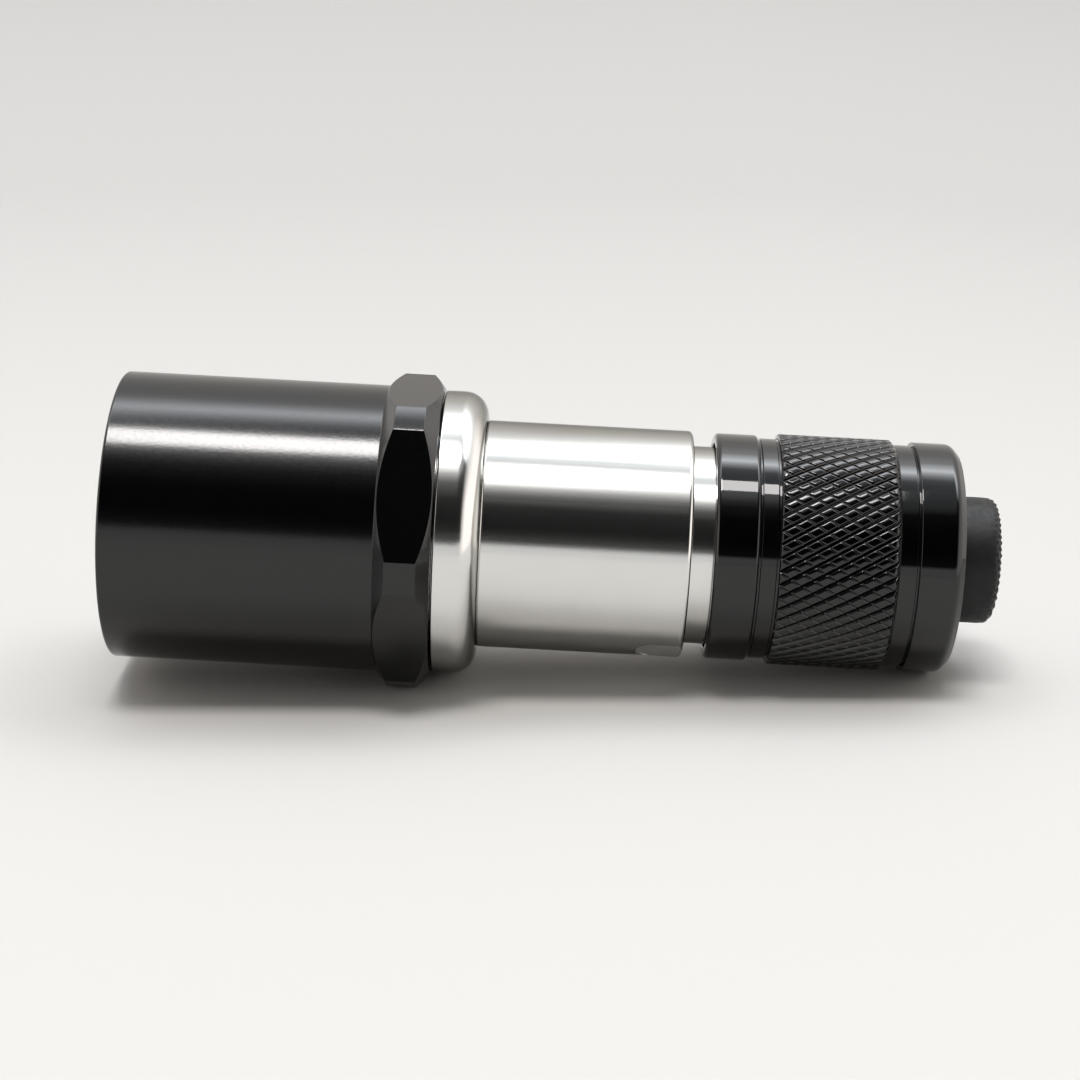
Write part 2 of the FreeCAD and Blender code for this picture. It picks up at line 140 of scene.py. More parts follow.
# Tail cap
CAP_FRONT = 65.8
CAP_BORE_R = 11.5
RING_ONE_R = 12.65
RING_ONE_REAR = 70.58
GROOVE_R = 12.1
RING_TWO_FRONT = 70.83
RING_TWO_R = 12.33
RING_TWO_REAR = 72.56
RING_THREE_R = 12.4
RING_THREE_REAR = 87.59
RING_FOUR_FRONT = 87.84
RING_FOUR_R = 12.8
CAP_REAR = 92.74
CAP_CHAMFER = 0.85
CAP_CORNER = 1.1
CAP_HOLE_R = 7.35
CAP_CAVITY_R = 9.6
CAP_LEDGE = 79.6
CAP_FLOOR = 89.4

# Rubber boot, with a flatter dome than in CAD and a field of small bumps over its end
BOOT_END = 97.9
BOOT_R = 7.05
BOOT_CORNER = 1.1
BOOT_DOME = 0.2
BOOT_FLANGE_R = 9.4
BOOT_FLANGE_FRONT = 88.2
BOOT_WALL_R = 5.7
BOOT_WALL_TIP_R = 5.5
BOOT_WALL_TAPER = 92.0
BOOT_CEILING = 95.6
BOOT_POST_FRONT = 90.3
BOOT_POST_R = 2.4
BOOT_WALL_STEPS = 12
BUMP_PITCH = 0.82
BUMP_HEIGHT = 0.15
BUMP_STEP = 0.09
BUMP_EDGE = 7.4
BUMP_FADE = 0.5
BUMP_SHARPNESS = 1.3

# Window ring, reflector and lamp
RETAINER_FRONT = 0.6
RETAINER_R = 14.62
RETAINER_OPEN_R = 13.0
RETAINER_SHARP = 30
NOTCH_REAR = 1.5
NOTCH_WIDTH = 2.2
NOTCH_REACH = 60.0
MIRROR_FOCUS = 1.9
MIRROR_MOUTH = 6.1
MIRROR_MOUTH_R = 12.4
MIRROR_HOLE_R = 4.2
MIRROR_STEPS = 90
MIRROR_SHARP = 35
LED_SIDE = 5.0
LED_FRONT = 24.2
LED_REAR = 24.9
LED_EDGE = 0.12
LED_DOME_R = 2.2
LED_DOME_FOOT = 0.05
LED_DOME_STEPS = 24
DIE_SIDE = 2.1
DIE_FRONT = 24.05
DIE_SUNK = 0.1
DIE_EDGE = 0.04

# Cell and switch
CELL_FRONT = 40.3
CELL_REAR = 74.0
CELL_R = 8.3
WRAP_R = 8.5
WRAP_OPEN_R = 7.5
WRAP_WAIST_R = 8.34
NUB_FRONT = 39.5
BOARD_REAR = 80.8
SWITCH_RING_FRONT = 77.8
HOUSING_FLOOR = 81.6
PLUNGER_FRONT = 85.1

# Meshing: corner rounds, straights held beside them, and points round each kind of piece
ROUND_STEPS = 5
ROUND_LENGTH = 0.3
FILLET_SHARE = 0.9
HOLD = 0.04
HOLD_SHARE = 0.3
TINY = 1e-6
BODY_SEGMENTS = 288
CAP_SEGMENTS = 256
RING_SEGMENTS = 224
BOOT_SEGMENTS = 448
INNER_SEGMENTS = 192
DOME_SEGMENTS = 96
CORD_SIDES = 24
WIRE_SIDES = 12
COIL_STEPS = 40
COIL_CLOSED_PITCH = 2.2
COIL_SHARP = 60
BLOCK_SHARP = 30


# Mesh helpers

def along(station):
    """X in metres of a station."""
    return FRONT_X - station * MM


def spot(station, radius, angle):
    """Point at a station, a radius and an angle from +Y towards +Z."""
    return Vector((along(station), radius * MM * math.cos(angle),
                   AXIS_Z + radius * MM * math.sin(angle)))


def soften(outline):
    """Rounds the corners of a closed (station, radius, fillet) outline and holds its straights."""
    count = len(outline)
    points = []
    for i, (s, r, fillet) in enumerate(outline):
        here = Vector((s, r))
        before = Vector(outline[i - 1][:2]) - here
        after = Vector(outline[(i + 1) % count][:2]) - here
        if fillet <= 0:
            points.append(here)
            continue
        angle = before.angle(after)
        room_before = before.length * fillet / (fillet + outline[i - 1][2])
        room_after = after.length * fillet / (fillet + outline[(i + 1) % count][2])
        reach = min(fillet / math.tan(angle / 2), FILLET_SHARE * room_before,
                    FILLET_SHARE * room_after)
        start, end = here + before.normalized() * reach, here + after.normalized() * reach
        radius = reach * math.tan(angle / 2)
        centre = here + (before.normalized() + after.normalized()).normalized() * (
            radius / math.sin(angle / 2))
        held = min(HOLD, HOLD_SHARE * (before.length - reach))
        points.append(start + before.normalized() * held)
        steps = ROUND_STEPS + int(radius / ROUND_LENGTH)
        for step in range(steps + 1):
            chord = start.lerp(end, step / steps)
            points.append(centre + (chord - centre).normalized() * radius)
        held = min(HOLD, HOLD_SHARE * (after.length - reach))
        points.append(end + after.normalized() * held)
    return [(p.x, p.y) for p in points]


def ring_outline(station, centre_radius, cord_radius):
    """Round section of an O-ring."""
    turns = [2 * math.pi * k / CORD_SIDES for k in range(CORD_SIDES)]
    return [(station + cord_radius * math.cos(t), centre_radius + cord_radius * math.sin(t))
            for t in turns]


def lathe(name, outline, segments, shift=None):
    """Closed turned mesh from (station, radius) points, which shift(s, r, angle) may move."""
    bm = bmesh.new()
    rings = []
    for s, r in outline:
        if r < TINY:
            rings.append([bm.verts.new(spot(s, 0, 0))])
            continue
        ring = []
        for k in range(segments):
            a = 2 * math.pi * k / segments
            place_s, place_r = shift(s, r, a) if shift else (s, r)
            ring.append(bm.verts.new(spot(place_s, place_r, a)))
        rings.append(ring)
    for one, two in zip(rings, rings[1:] + rings[:1]):
        if len(one) == 1 and len(two) == 1:
            continue
        for k in range(segments):
            n = (k + 1) % segments
            if len(one) == 1:
                bm.faces.new((one[0], two[n], two[k]))
            elif len(two) == 1:
                bm.faces.new((one[k], one[n], two[0]))
            else:
                bm.faces.new((one[k], one[n], two[n], two[k]))
    return finish_mesh(name, bm)


def finish_mesh(name, bm, sharp=None):
    """Smooth-shaded object from bm, with the edges over sharp degrees kept sharp."""
    bmesh.ops.recalc_face_normals(bm, faces=bm.faces[:])
    mesh = bpy.data.meshes.new(name)
    bm.to_mesh(mesh)
    bm.free()
    mesh.shade_smooth()
    if sharp:
        mesh.set_sharp_from_angle(angle=math.radians(sharp))
    obj = bpy.data.objects.new(name, mesh)
    bpy.context.scene.collection.objects.link(obj)
    return obj


def block(name, front, rear, width, height):
    """Box between two stations, centred on the axis."""
    bm = bmesh.new()
    bmesh.ops.create_cube(bm, size=1.0)
    bmesh.ops.scale(bm, verts=bm.verts, vec=((rear - front) * MM, width * MM, height * MM))
    bmesh.ops.translate(bm, verts=bm.verts, vec=spot((front + rear) / 2, 0, 0))
    return finish_mesh(name, bm, BLOCK_SHARP)


def cut(obj, cutter):
    """Takes the cutter's solid out of obj and removes the cutter."""
    modifier = obj.modifiers.new("cut", "BOOLEAN")
    modifier.operation, modifier.solver, modifier.object = "DIFFERENCE", "EXACT", cutter
    graph = bpy.context.evaluated_depsgraph_get()
    mesh = bpy.data.meshes.new_from_object(obj.evaluated_get(graph))
    obj.modifiers.clear()
    obj.data = mesh
    bpy.data.objects.remove(cutter)
    return obj


def bevel(obj, width):
    """Small rounds on the sharp edges."""
    modifier = obj.modifiers.new("edges", "BEVEL")
    modifier.width = width * MM
    modifier.segments = 2
    modifier.limit_method = "ANGLE"
    modifier.angle_limit = math.radians(BLOCK_SHARP)
    return obj


def weigh(obj):
    """Keeps big flat faces flat where they meet small rounds."""
    modifier = obj.modifiers.new("weighted", "WEIGHTED_NORMAL")
    modifier.keep_sharp = True
    return obj


def place(obj, slot, body, *nodes):
    """Gives a new piece its material and its body, and hides the CAD nodes that it stands for."""
    obj.data.materials.clear()
    obj.data.materials.append(made[slot])
    if body:
        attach(obj, body)
    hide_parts(*nodes)
    return obj


# Material helpers

class Shader:
    """A Principled material with a few procedural layers."""

    def __init__(self, name, colour, **sockets):
        self.name = name
        self.material = bpy.data.materials.new(name)
        self.material.use_nodes = True
        self.tree = self.material.node_tree
        self.bsdf = self.tree.nodes["Principled BSDF"]
        self.bsdf.inputs["Base Color"].default_value = (*colour, 1)
        self.colour = colour
        self.roughness = sockets.get("Roughness", 0.5)
        for key, value in sockets.items():
            self.bsdf.inputs[key].default_value = value
        self.coords = self.node("ShaderNodeTexCoord")
        self.bump = None

    def node(self, kind, **settings):
        node = self.tree.nodes.new(kind)
        for key, value in settings.items():
            setattr(node, key, value)
        return node

    def link(self, a, b):
        self.tree.links.new(a, b)

    def noise(self, scale, detail, stretch=(1, 1, 1)):
        """Noise in the object's metres, drawn out along the axes whose stretch is small."""
        mapping = self.node("ShaderNodeMapping")
        mapping.inputs["Scale"].default_value = stretch
        self.link(self.coords.outputs["Object"], mapping.inputs["Vector"])
        tex = self.node("ShaderNodeTexNoise")
        tex.inputs["Scale"].default_value = scale
        tex.inputs["Detail"].default_value = detail
        self.link(mapping.outputs["Vector"], tex.inputs["Vector"])
        return tex.outputs["Fac"]

    def remap(self, value, low, high, start=0.3, end=0.7):
        """Value from start..end, brought to low..high."""
        ramp = self.node("ShaderNodeMapRange")
        ramp.inputs["From Min"].default_value = start
        ramp.inputs["From Max"].default_value = end
        ramp.inputs["To Min"].default_value = low
        ramp.inputs["To Max"].default_value = high
        self.link(value, ramp.inputs["Value"])
        return ramp.outputs["Result"]

    def vary_roughness(self, value, spread):
        out = self.remap(value, self.roughness - spread, self.roughness + spread)
        self.link(out, self.bsdf.inputs["Roughness"])

    def vary_colour(self, value, other, start=0.3, end=0.7):
        mix = self.node("ShaderNodeMix", data_type="RGBA")
        mix.inputs["A"].default_value = (*self.colour, 1)
        mix.inputs["B"].default_value = (*other, 1)
        self.link(self.remap(value, 0.0, 1.0, start, end), mix.inputs["Factor"])
        self.link(mix.outputs["Result"], self.bsdf.inputs["Base Color"])

    def bumps(self, value, distance, strength):
        """Adds a bump layer of a distance in millimetres on top of the earlier ones."""
        bump = self.node("ShaderNodeBump")
        bump.inputs["Strength"].default_value = strength
        bump.inputs["Distance"].default_value = distance * MM
        self.link(value, bump.inputs["Height"])
        if self.bump:
            self.link(self.bump, bump.inputs["Normal"])
        self.bump = bump.outputs["Normal"]
        self.link(self.bump, self.bsdf.inputs["Normal"])


# Stretches of the noise: fine rings from turning, strokes from milling and long drawn streaks
TURNED_MARKS = (1.0, 0.02, 0.02)
MILLED_MARKS = (1.0, 0.06, 0.06)
MILLED_SHEEN = (1.0, 0.1, 0.1)
ALONG_TUBE = (0.3, 14, 14)
ALONG_CELL = (0.2, 12, 12)
COARSE_RINGS = (24, 1, 1)
DEEP_BLACK = (0.0003, 0.0003, 0.0004)
SOFT_BLACK = (0.0007, 0.0007, 0.0008)
LACQUER_IOR = 1.55
RUBBER_IOR = 1.38
GLASS_IOR = 1.47


made = {}


def keep(shader):
    """Lists a finished material under the name of its slot in the record."""
    made[shader.name] = shader.material
    return shader


def outside_materials():
    m = keep(Shader("head_black", DEEP_BLACK, Roughness=0.165, IOR=LACQUER_IOR))
    m.vary_colour(m.noise(220, 4), SOFT_BLACK)
    m.vary_roughness(m.noise(2600, 3), 0.02)
    m.bumps(m.noise(3600, 2), 0.009, 0.5)
    m.bumps(m.noise(5000, 2, TURNED_MARKS), 0.002, 0.3)

    m = keep(Shader("cap_black", DEEP_BLACK, Roughness=0.045, IOR=LACQUER_IOR))
    m.vary_colour(m.noise(260, 4), SOFT_BLACK)
    m.vary_roughness(m.noise(700, 4), 0.012)
    m.bumps(m.noise(7000, 2), 0.003, 0.2)
    m.bumps(m.noise(4000, 2, TURNED_MARKS), 0.0015, 0.15)

    m = keep(Shader("ring_black", (0.004, 0.004, 0.0045), Roughness=0.24))
    m.vary_roughness(m.noise(1200, 3), 0.05)
    m.bumps(m.noise(8000, 2), 0.004, 0.3)

    m = keep(Shader("tube_silver", (0.74, 0.735, 0.715), Metallic=1.0, Roughness=0.145))
    m.bsdf.inputs["Specular Tint"].default_value = (0.45, 0.45, 0.44, 1)
    m.vary_colour(m.noise(120, 4), (0.70, 0.695, 0.675))
    m.vary_roughness(m.noise(160, 4, ALONG_TUBE), 0.02)
    m.bumps(m.noise(3600, 2), 0.006, 0.4)
    m.bumps(m.noise(3500, 3, TURNED_MARKS), 0.003, 0.35)

    m = keep(Shader("tube_milled", (0.72, 0.715, 0.695), Metallic=1.0, Roughness=0.42))
    m.vary_roughness(m.noise(900, 3, MILLED_SHEEN), 0.06)
    m.bumps(m.noise(2200, 3, MILLED_MARKS), 0.004, 0.5)

    m = keep(Shader("seal_rubber", (0.016, 0.016, 0.016), Roughness=0.5))
    m.vary_colour(m.noise(900, 3), (0.028, 0.028, 0.028))
    m.bumps(m.noise(4000, 3), 0.01, 0.4)

    m = keep(Shader("boot_rubber", (0.005, 0.005, 0.0055), Roughness=0.5, IOR=RUBBER_IOR))
    m.vary_colour(m.noise(500, 4), (0.010, 0.010, 0.0105))
    m.vary_roughness(m.noise(1500, 3), 0.08)
    m.bumps(m.noise(6000, 3), 0.012, 0.5)


def lamp_materials():
    m = keep(Shader("window_glass", (0.97, 0.99, 0.985), Roughness=0.015, IOR=GLASS_IOR))
    m.bsdf.inputs["Transmission Weight"].default_value = 1.0
    m.bsdf.inputs["Coat Weight"].default_value = 0.15
    m.bsdf.inputs["Coat Tint"].default_value = (0.75, 0.85, 1.0, 1)
    m.vary_roughness(m.noise(120, 5), 0.012)

    m = keep(Shader("reflector_mirror", (0.88, 0.88, 0.87), Metallic=1.0, Roughness=0.05))
    m.vary_roughness(m.noise(300, 3), 0.02)
    m.bumps(m.noise(900, 2), 0.006, 0.5)

    m = keep(Shader("led_phosphor", (0.90, 0.62, 0.06), Roughness=0.35))
    m.vary_colour(m.noise(5000, 3), (0.95, 0.74, 0.14))

    m = keep(Shader("white_plastic", (0.84, 0.84, 0.82), Roughness=0.45))
    m.vary_colour(m.noise(700, 4), (0.78, 0.78, 0.75))
    m.bumps(m.noise(4000, 3), 0.004, 0.3)

    m = keep(Shader("copper_board", (0.80, 0.45, 0.30), Metallic=1.0, Roughness=0.3))
    m.vary_colour(m.noise(400, 5), (0.62, 0.33, 0.22))
    m.vary_roughness(m.noise(900, 3), 0.08)

    m = keep(Shader("brass", (0.78, 0.60, 0.30), Metallic=1.0, Roughness=0.28))
    m.vary_colour(m.noise(250, 5), (0.66, 0.48, 0.22))
    m.bumps(m.noise(90, 3, COARSE_RINGS), 0.004, 0.4)


def inner_materials():
    m = keep(Shader("board_green", (0.012, 0.11, 0.045), Roughness=0.3))
    m.vary_colour(m.noise(600, 4), (0.02, 0.16, 0.07))
    m.bumps(m.noise(2500, 2), 0.006, 0.3)

    m = keep(Shader("component_grey", (0.03, 0.03, 0.032), Roughness=0.5))
    m.vary_colour(m.noise(900, 3), (0.05, 0.05, 0.052))
    m.bumps(m.noise(6000, 2), 0.006, 0.4)

    m = keep(Shader("wire_red", (0.42, 0.02, 0.015), Roughness=0.45))
    m.vary_colour(m.noise(900, 3), (0.52, 0.04, 0.03))

    m = keep(Shader("spring_gold", (0.86, 0.68, 0.36), Metallic=1.0, Roughness=0.22))
    m.vary_roughness(m.noise(1500, 3), 0.06)

    m = keep(Shader("spring_steel", (0.70, 0.70, 0.70), Metallic=1.0, Roughness=0.2))
    m.vary_roughness(m.noise(1500, 3), 0.06)

    m = keep(Shader("cell_steel", (0.62, 0.62, 0.60), Metallic=1.0, Roughness=0.26))
    m.vary_colour(m.noise(300, 4), (0.52, 0.52, 0.50))
    m.bumps(m.noise(200, 3, ALONG_CELL), 0.003, 0.4)

    m = keep(Shader("cell_wrap", (0.02, 0.10, 0.30), Roughness=0.25))
    m.vary_colour(m.noise(180, 4), (0.03, 0.13, 0.36))
    m.bumps(m.noise(500, 3), 0.01, 0.3)

    m = keep(Shader("black_plastic", (0.02, 0.02, 0.02), Roughness=0.45))
    m.vary_colour(m.noise(700, 3), (0.032, 0.032, 0.032))
    m.bumps(m.noise(5000, 2), 0.005, 0.4)

    m = keep(Shader("washer_nylon", (0.66, 0.63, 0.54), Roughness=0.5))
    m.vary_colour(m.noise(700, 3), (0.58, 0.55, 0.46))
    m.bumps(m.noise(3000, 2), 0.005, 0.3)


# Pieces

def cut_hexagon(obj):
    """Cuts the six facets of the anti-roll ring and softens their edges."""
    bm = bmesh.new()
    bm.from_mesh(obj.data)
    edges = []
    for side in range(6):
        angle = math.radians(30 + 60 * side)
        normal = Vector((0, math.cos(angle), math.sin(angle)))
        point = Vector((0, 0, AXIS_Z)) + normal * HEX_APOTHEM * MM
        cut_edges = bmesh.ops.bisect_plane(
            bm, geom=bm.verts[:] + bm.edges[:] + bm.faces[:], plane_co=point, plane_no=normal,
            clear_outer=True, dist=1e-9)
        rim = [e for e in cut_edges["geom_cut"] if isinstance(e, bmesh.types.BMEdge)]
        filled = bmesh.ops.contextual_create(bm, geom=rim)
        edges += [e for f in filled["faces"] for e in f.edges]
    bmesh.ops.bevel(bm, geom=list(set(edges)), offset=HEX_EDGE * MM, segments=3, affect="EDGES",
                    profile=0.5, clamp_overlap=True)
    bmesh.ops.recalc_face_normals(bm, faces=bm.faces[:])
    bm.to_mesh(obj.data)
    bm.free()
    obj.data.shade_smooth()
    obj.data.set_sharp_from_angle(angle=math.radians(HEX_SHARP))
    return obj


def head_shell():
    outline = soften([
        (0.0, MOUTH_R, 0.25), (0.0, HEAD_R, 0.32), (HEX_FRONT, HEAD_R, 0.15),
        (HEX_LAND_FRONT, HEX_CORNER_R, 0.12), (HEX_LAND_REAR, HEX_CORNER_R, 0.12),
        (HEAD_REAR, HEAD_R, 0.12), (HEAD_REAR, HEAD_THREAD_R, 0.15),
        (HEAD_THREAD_START, HEAD_THREAD_R, 0), (HEAD_THREAD_START, MODULE_BORE_R, 0),
        (MODULE_SEAT, MODULE_BORE_R, 0), (MODULE_SEAT, SHOULDER_R, 0.05),
        (LENS_SHOULDER, SHOULDER_R, 0.05), (LENS_SHOULDER, LENS_BORE_R, 0),
        (RING_SEAT, LENS_BORE_R, 0), (RING_SEAT, RING_BORE_R, 0), (MOUTH_DEPTH, RING_BORE_R, 0.1)])
    obj = lathe("head_shell_fine", outline, BODY_SEGMENTS)
    place(weigh(cut_hexagon(obj)), "head_black", "head", "head_shell")


def threaded(outline, ends, root, crest):
    """Outline and shift that cut a right-handed helical thread between two stations of it."""
    front, rear = ends
    steps = round((rear - front) / THREAD_STEP)
    rows = [(front + (rear - front) * k / steps, root) for k in range(steps + 1)]
    after = next(i for i, (s, r) in enumerate(outline) if s > front and abs(r - root) < TINY)
    outline = outline[:after] + rows + outline[after:]

    def shift(s, r, angle):
        if abs(r - root) > TINY or not front <= s <= rear:
            return s, r
        phase = (s / THREAD_PITCH + angle / (2 * math.pi)) % 1.0
        ridge = min(max(THREAD_FLANK - THREAD_SLOPE * abs(phase - 0.5), 0.0), 1.0)
        run_out = min(1.0, (s - front) / THREAD_RUN_OUT, (rear - s) / THREAD_RUN_OUT)
        return s, root + (crest - root) * ridge * run_out

    return outline, shift


def collar():
    outline = soften([
        (COLLAR_FRONT, COLLAR_BORE_R, 0.1), (COLLAR_FRONT, HEAD_ROOT_R, 0.1),
        (HEAD_GROOVE_FRONT, HEAD_ROOT_R, 0.05), (HEAD_GROOVE_FRONT, HEAD_GROOVE_R, 0.05),
        (COLLAR_STEP, HEAD_GROOVE_R, 0.05), (COLLAR_STEP, COLLAR_R, 0.22),
        (COLLAR_REAR, COLLAR_R, COLLAR_ROUND), (COLLAR_REAR, COLLAR_JOINT_R, 0.1),
        (TUBE_FRONT, COLLAR_JOINT_R, 0), (TUBE_FRONT, COLLAR_BORE_R, 0)])
    outline, shift = threaded(outline, HEAD_THREAD_ENDS, HEAD_ROOT_R, HEAD_MALE_R)
    obj = lathe("collar_fine", outline, BODY_SEGMENTS, shift)
    place(weigh(obj), "tube_silver", "tube", "collar")


def flat_cutter():
    """End-milled pocket that cuts the shallow flat at the tube's rear edge."""
    floor = TUBE_R - FLAT_DEPTH
    half = math.sqrt(TUBE_R ** 2 - floor ** 2)
    centre = TUBE_REAR - FLAT_LENGTH + half
    turns = [math.pi * (0.5 + k / FLAT_STEPS) for k in range(FLAT_STEPS + 1)]
    outline = [(centre + half * math.cos(t), half * math.sin(t)) for t in turns]
    outline += [(TUBE_REAR + 1.0, -half), (TUBE_REAR + 1.0, half)]
    across = Vector((0, -FLAT_NORMAL.z, FLAT_NORMAL.y))
    bm = bmesh.new()
    verts = [bm.verts.new(spot(s, 0, 0) + (across * side + FLAT_NORMAL * floor) * MM)
             for s, side in outline]
    base = bm.faces.new(verts)
    top = bmesh.ops.extrude_face_region(bm, geom=[base])
    raised = [v for v in top["geom"] if isinstance(v, bmesh.types.BMVert)]
    bmesh.ops.translate(bm, verts=raised, vec=FLAT_NORMAL * MM)
    return finish_mesh("flat_cutter", bm)


def finish_flat(obj):
    """Gives the flat a satin milled finish, and a sharp outline against the round tube."""
    obj.data.materials.append(made["tube_milled"])
    least_area = FLAT_LEAST_AREA * MM ** 2
    bm = bmesh.new()
    bm.from_mesh(obj.data)
    for face in bm.faces:
        behind_start = face.calc_center_median().x < along(TUBE_REAR - FLAT_LENGTH)
        facing = face.normal.dot(FLAT_NORMAL) > FLAT_FACING
        if behind_start and facing and face.calc_area() > least_area:
            face.material_index = 1
            for edge in face.edges:
                edge.smooth = False
    bm.to_mesh(obj.data)
    bm.free()


def battery_tube():
    outline = soften([
        (TUBE_FRONT, TUBE_BORE_R, 0.1), (TUBE_FRONT, TUBE_JOINT_R, 0.1),
        (COLLAR_REAR, TUBE_JOINT_R, 0), (COLLAR_REAR, TUBE_R, 0.3), (TUBE_REAR, TUBE_R, 0.5),
        (TUBE_REAR, NECK_R, 0.1), (TAIL_GROOVE_FRONT, NECK_R, 0.05),
        (TAIL_GROOVE_FRONT, TAIL_GROOVE_R, 0), (TAIL_GROOVE_REAR, TAIL_GROOVE_R, 0),
        (TAIL_GROOVE_REAR, TAIL_ROOT_R, 0.05), (TUBE_END, TAIL_ROOT_R, 0.35),
        (TUBE_END, TUBE_BORE_R, 0.2)])
    outline, shift = threaded(outline, TAIL_THREAD_ENDS, TAIL_ROOT_R, TAIL_MALE_R)
    obj = cut(lathe("battery_tube_fine", outline, BODY_SEGMENTS, shift), flat_cutter())
    obj.data.set_sharp_from_angle(angle=math.radians(TUBE_SHARP))
    place(weigh(obj), "tube_silver", "tube", "battery_tube")
    finish_flat(obj)


def tail_cap():
    outline = soften([
        (CAP_FRONT, CAP_BORE_R, 0.15), (CAP_FRONT, RING_ONE_R, 0.5),
        (RING_ONE_REAR, RING_ONE_R, 0.4), (RING_ONE_REAR, GROOVE_R, 0.05),
        (RING_TWO_FRONT, GROOVE_R, 0.05), (RING_TWO_FRONT, RING_TWO_R, 0.08),
        (RING_TWO_REAR, RING_TWO_R, 0.08), (RING_TWO_REAR, GROOVE_R, 0.05),
        (KNURL_FRONT, GROOVE_R, 0.05), (KNURL_FRONT, KNURL_SEAT_R, 0),
        (KNURL_REAR, KNURL_SEAT_R, 0), (RING_THREE_REAR, RING_THREE_R, 0.08),
        (RING_THREE_REAR, GROOVE_R, 0.05), (RING_FOUR_FRONT, GROOVE_R, 0.05),
        (RING_FOUR_FRONT, RING_FOUR_R, 0.1), (CAP_REAR - CAP_CHAMFER, RING_FOUR_R, CAP_CORNER),
        (CAP_REAR, RING_FOUR_R - CAP_CHAMFER, 0.18), (CAP_REAR, CAP_HOLE_R, 0.35),
        (CAP_FLOOR, CAP_HOLE_R, 0.1), (CAP_FLOOR, CAP_CAVITY_R, 0),
        (CAP_LEDGE, CAP_CAVITY_R, 0), (CAP_LEDGE, CAP_BORE_R, 0)])
    obj = lathe("tail_cap_fine", outline, CAP_SEGMENTS)
    place(weigh(obj), "cap_black", "tail_cap", "tail_cap")


# Knurl: two families of grooves round the cap, the first deeper than the second. KNURL_LINES
# are the mesh lines across one groove spacing, close together near the groove's bottom.
KNURL_FRONT = 72.86
KNURL_REAR = 85.74
KNURL_R = 12.9
KNURL_SEAT_R = 12.4
KNURL_INNER_R = 12.3
KNURL_COUNT = 54
KNURL_PITCH = 2.48
DEEP, DEEP_HALF = 0.34, 0.25
SHALLOW, SHALLOW_HALF = 0.14, 0.17
KNURL_LINES = (0.0, 0.045, 0.09, 0.135, 0.18, 0.26, 0.74, 0.82, 0.865, 0.91, 0.955)
KNURL_SHARP = 48
GROOVE_CURVE = 1.7
GROOVE_MEETING = 4
KNURL_FRONT_CHAMFER = 0.15
KNURL_REAR_CHAMFER = 0.5
KNURL_ENDS = ((KNURL_FRONT, 1, KNURL_FRONT_CHAMFER), (KNURL_REAR, -1, KNURL_REAR_CHAMFER))


def groove(turn, depth, half):
    """Depth of one family of grooves, sharp at the bottom and round at the shoulders."""
    off = abs(turn - round(turn))
    return depth * max(0.0, 1 - off / half) ** GROOVE_CURVE


def knurl_depth(deep_at, shallow_at):
    """Depth below the diamonds' tops at a place on the lattice, in turns of each family."""
    deep = groove(deep_at, DEEP, DEEP_HALF)
    shallow = groove(shallow_at, SHALLOW, SHALLOW_HALF)
    return (deep ** GROOVE_MEETING + shallow ** GROOVE_MEETING) ** (1 / GROOVE_MEETING)


def knurl_lattice():
    """Open band of diamonds whose mesh edges run along both families of grooves."""
    lines = len(KNURL_LINES)
    around = lines * KNURL_COUNT
    bm = bmesh.new()
    verts = {}

    def vert(i, j):
        turn = i // around
        key = (i - turn * around, j - turn * around)
        if key not in verts:
            deep_at = key[0] // lines + KNURL_LINES[key[0] % lines]
            shallow_at = key[1] // lines + KNURL_LINES[key[1] % lines]
            station = KNURL_FRONT + (shallow_at - deep_at) * KNURL_PITCH / 2
            angle = (shallow_at + deep_at) * math.pi / KNURL_COUNT
            radius = KNURL_R - knurl_depth(deep_at, shallow_at)
            verts[key] = bm.verts.new(spot(station, radius, angle))
        return verts[key]

    reach = math.ceil(2 * (KNURL_REAR - KNURL_FRONT) / KNURL_PITCH) + 1
    for i in range(around):
        cell = i // lines
        for j in range(lines * (cell - 2), lines * (cell + reach + 1)):
            bm.faces.new((vert(i, j), vert(i + 1, j), vert(i + 1, j + 1), vert(i, j + 1)))
    return bm


def pull_in(v, limit):
    """Moves a vertex in towards the axis to a limiting radius."""
    radius = math.hypot(v.co.y, v.co.z - AXIS_Z) / MM
    if radius > limit:
        v.co.y *= limit / radius
        v.co.z = AXIS_Z + (v.co.z - AXIS_Z) * limit / radius


def knurl():
    bm = knurl_lattice()
    for station, outwards, chamfer in KNURL_ENDS:
        for inset, clear in ((0.0, True), (chamfer, False)):
            bmesh.ops.bisect_plane(bm, geom=bm.verts[:] + bm.edges[:] + bm.faces[:],
                                   plane_co=spot(station + inset * outwards, 0, 0),
                                   plane_no=(outwards, 0, 0), clear_outer=clear, dist=1e-8)
    for v in bm.verts:
        station = (FRONT_X - v.co.x) / MM
        for end, outwards, chamfer in KNURL_ENDS:
            pull_in(v, KNURL_R - max(chamfer - abs(station - end), 0.0))
    rims = [e for e in bm.edges if e.is_boundary]
    extruded = bmesh.ops.extrude_edge_only(bm, edges=rims)["geom"]
    for v in extruded:
        if isinstance(v, bmesh.types.BMVert):
            pull_in(v, KNURL_INNER_R)
    bmesh.ops.bridge_loops(bm, edges=[e for e in bm.edges if e.is_boundary])
    obj = finish_mesh("tail_cap_knurl", bm, KNURL_SHARP)
    place(weigh(obj), "cap_black", "tail_cap", "tail_cap")


# Rubber boot

